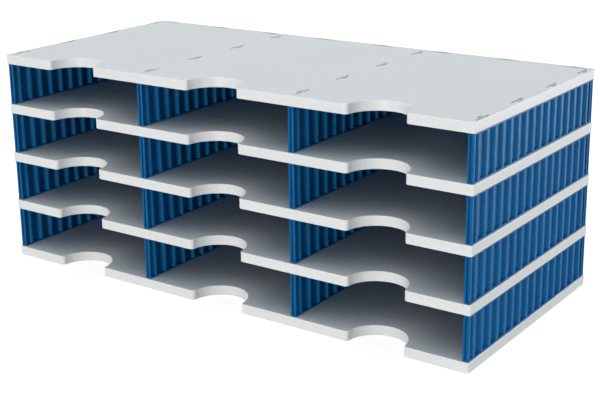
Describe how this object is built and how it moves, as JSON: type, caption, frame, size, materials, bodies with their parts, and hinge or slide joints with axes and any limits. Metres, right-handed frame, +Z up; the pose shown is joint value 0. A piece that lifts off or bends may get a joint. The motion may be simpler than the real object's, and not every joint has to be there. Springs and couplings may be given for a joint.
{
  "type": "desk sorter",
  "caption": "Free-standing desk sorter: flat shelves with finger cut-outs, held apart by corrugated walls that plug into them, open at the front.",
  "frame": {"origin": "centre of the footprint on the surface it stands on", "axes": "+X along its width, to the right as seen from the open front; +Y from the open front to the closed back; +Z up"},
  "size_m": [0.723, 0.331, 0.293],
  "materials": {
    "shelf_grey": "satin light grey moulded plastic",
    "wall_blue": "satin deep blue moulded plastic"
  },
  "bodies": {
    "root": {"shelf_1": "shelf_grey", "shelf_2": "shelf_grey", "shelf_3": "shelf_grey", "shelf_4": "shelf_grey", "shelf_5": "shelf_grey", "left_wall_level_1": "wall_blue", "left_wall_level_2": "wall_blue", "left_wall_level_3": "wall_blue", "left_wall_level_4": "wall_blue", "divider_1_level_1": "wall_blue", "divider_1_level_2": "wall_blue", "divider_1_level_3": "wall_blue", "divider_1_level_4": "wall_blue", "divider_2_level_1": "wall_blue", "divider_2_level_2": "wall_blue", "divider_2_level_3": "wall_blue", "divider_2_level_4": "wall_blue", "right_wall_level_1": "wall_blue", "right_wall_level_2": "wall_blue", "right_wall_level_3": "wall_blue", "right_wall_level_4": "wall_blue", "back_wall_level_1": "wall_blue", "back_wall_level_2": "wall_blue", "back_wall_level_3": "wall_blue", "back_wall_level_4": "wall_blue"}
  },
  "joints": []
}
